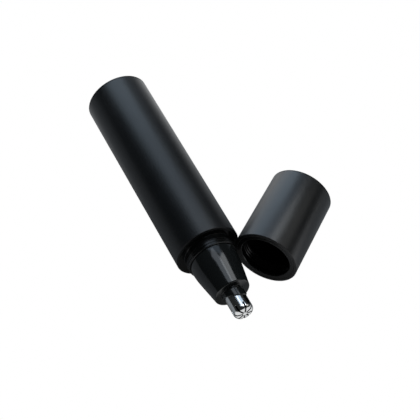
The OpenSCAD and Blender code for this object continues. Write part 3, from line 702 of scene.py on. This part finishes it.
def make_cap_end():
    rim = CAP_LEN - CAP_RIM
    inner = cap_radius(rim) - CAP_WALL - FIT
    outer = cap_radius(CAP_LEN)
    outline = soften([(0.0, CAP_PLUG_BACK, 0.0), (inner, CAP_PLUG_BACK, 0.1), (inner, rim + 0.02, 0.05),
                      (outer, rim + 0.02, 0.05), (outer, CAP_LEN, 0.24), (9.4, CAP_LEN, 0.1),
                      (9.1, CAP_LEN - CAP_DISH, 0.1), (0.0, CAP_LEN - CAP_DISH, 0.0)], closed=False)
    settle(lathe("cap_end", outline, False, cap_place()), "cap", "tail_plastic", "cap_end_plug")


# ------------------------------------------------------------------ studio
def softbox(name, azimuth, elevation, width, height, radiance, color):
    """A soft panel one metre off, in the given direction, facing the middle of the object."""
    around, up = math.radians(azimuth), math.radians(elevation)
    data = bpy.data.lights.new(name, "AREA")
    data.shape = "RECTANGLE"
    data.size, data.size_y = (2 * math.tan(math.radians(angle) / 2) for angle in (width, height))
    data.energy = radiance * math.pi * data.size * data.size_y
    data.color = color
    light = bpy.data.objects.new(name, data)
    light.location = (math.sin(around) * math.cos(up), math.cos(around) * math.cos(up), math.sin(up))
    light.visible_camera = False
    look_at(light, (0.0, 0.0, 0.0))
    bpy.context.scene.collection.objects.link(light)


def make_floor():
    """A pale floor that the lens sees as plain white. Its glow, which lights the object and shows in its
    reflections, is painted by place: painted shade dims it near the object, and painted light brightens it
    behind the object and in front of its tip, as a sweep lit from two sides would."""
    bpy.ops.mesh.primitive_plane_add(size=FLOOR_SIZE)
    floor = bpy.context.object
    floor.name = "floor"
    made = bpy.data.materials.new("studio floor")
    made.use_nodes = True
    tree = made.node_tree
    tree.nodes.clear()
    place = add(tree, "ShaderNodeSeparateXYZ", {0: add(tree, "ShaderNodeTexCoord").outputs["Object"]})
    x, y = place.outputs[0], place.outputs[1]
    # Painted light and shade: the glow is set by place, brighter behind the object and in front of its tip
    behind = math_node(tree, "MULTIPLY", ramp(tree, x, *SWEEP_ACROSS), ramp(tree, y, *SWEEP_BEHIND))
    distant = ramp(tree, x, *SWEEP_DISTANT, 1.0, DISTANT_SHARE)
    sweep = math_node(tree, "MULTIPLY", behind, math_node(tree, "MULTIPLY", distant, SWEEP_GLOW))
    front = math_node(tree, "MULTIPLY", ramp(tree, y, *FRONT_EDGE), FRONT_GLOW)
    zones = math_node(tree, "ADD", sweep, front)
    sheet = add(tree, "ShaderNodeBsdfDiffuse", {"Color": FLOOR_COLOR})
    glow = add(tree, "ShaderNodeEmission", {"Color": (1.0, 1.0, 1.0, 1.0),
                                            "Strength": math_node(tree, "ADD", zones, FLOOR_GLOW)})
    lit = add(tree, "ShaderNodeAddShader", {0: sheet.outputs[0], 1: glow.outputs[0]})
    white = add(tree, "ShaderNodeEmission", {"Color": (1.0, 1.0, 1.0, 1.0), "Strength": 1.0})
    seen = add(tree, "ShaderNodeLightPath")
    choice = add(tree, "ShaderNodeMixShader", {0: seen.outputs["Is Camera Ray"], 1: lit.outputs[0],
                                               2: white.outputs[0]})
    add(tree, "ShaderNodeOutputMaterial", {0: choice.outputs[0]})
    floor.data.materials.append(made)


def make_world():
    world = bpy.data.worlds.new("studio")
    world.use_nodes = True
    tree = world.node_tree
    tree.nodes.clear()
    dim = add(tree, "ShaderNodeBackground", {"Color": (0.92, 0.97, 1.0, 1.0), "Strength": WORLD_GLOW})
    white = add(tree, "ShaderNodeBackground", {"Color": (1.0, 1.0, 1.0, 1.0), "Strength": 1.0})
    seen = add(tree, "ShaderNodeLightPath")
    choice = add(tree, "ShaderNodeMixShader", {0: seen.outputs["Is Camera Ray"], 1: dim.outputs[0],
                                               2: white.outputs[0]})
    add(tree, "ShaderNodeOutputWorld", {0: choice.outputs[0]})
    bpy.context.scene.world = world


FLOOR_SIZE = 6.0
FLOOR_COLOR = (0.35, 0.35, 0.35, 1.0)
FLOOR_GLOW = 0.065
SWEEP_GLOW = 0.86
FRONT_GLOW = 0.60
WORLD_GLOW = 0.02
# Where each zone of the floor's glow starts and is full, in metres along x, y, x and y
SWEEP_ACROSS = (-0.05, 0.0)
SWEEP_BEHIND = (0.0, 0.06)
SWEEP_DISTANT = (0.01, 0.07)
DISTANT_SHARE = 0.22
FRONT_EDGE = (-0.055, -0.060)
# name, azimuth from +Y towards +X, elevation, width and height, radiance, colour;
# the angles are in degrees, seen from the middle of the object
LIGHTS = [
    ("back panel low", 2, 11, 42, 24, 1.55, (0.89, 1.00, 1.12)),
    ("back panel high", 4, 36, 42, 26, 1.7, (0.80, 1.00, 1.20)),
    ("back panel top", 18, 57, 44, 18, 0.75, (0.80, 1.00, 1.25)),
    ("back panel side", 33, 22, 20, 44, 0.3, (0.90, 1.00, 1.14)),
    ("overhead sheet", 60, 82, 50, 24, 1.6, (0.90, 1.00, 1.12)),
    ("overhead lamp", 72, 63, 17, 30, 2.8, (0.95, 1.00, 1.04)),
    ("right panel", 108, 40, 36, 32, 0.55, (1.00, 1.00, 0.97)),
]

make_camera()
finish_cad_nodes()
make_tube()
make_collar()
make_nose()
make_cutter()
make_tail()
make_cap_shell()
make_cap_liner()
make_cap_end()
make_floor()
make_world()
for light in LIGHTS:
    softbox(*light)
bpy.context.scene.view_settings.view_transform = "Standard"
